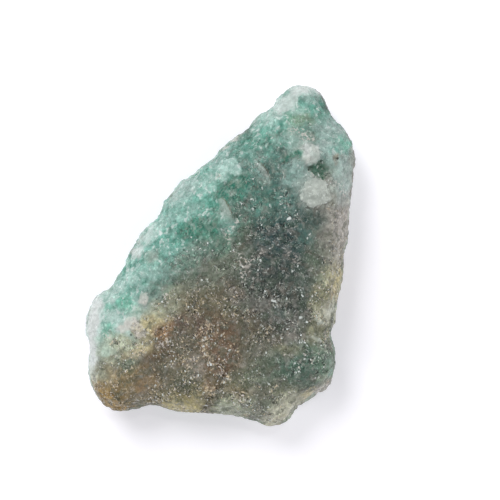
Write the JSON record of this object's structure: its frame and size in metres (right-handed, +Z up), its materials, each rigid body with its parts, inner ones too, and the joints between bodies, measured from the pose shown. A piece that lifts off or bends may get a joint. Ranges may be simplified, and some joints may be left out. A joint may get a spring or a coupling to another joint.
{
  "type": "raw jade stone",
  "caption": "Raw broken chip of green, grainy, slightly translucent jade stone that lies on one flat fracture face, with a bevelled upper face and thin rounded edges.",
  "frame": {"origin": "on the surface that the stone lies on, under the middle of its outline's box", "axes": "+Z up out of the broad upper face, +Y along the stone's length towards its narrow tip, +X to the right of that seen from above"},
  "size_m": [0.0282, 0.0354, 0.0097],
  "materials": {
    "jade": "broken, sugary grain with glinting grains, mint and teal green over rust brown, pale and translucent at thin edges"
  },
  "bodies": {
    "root": {"stone": "jade"}
  },
  "joints": []
}
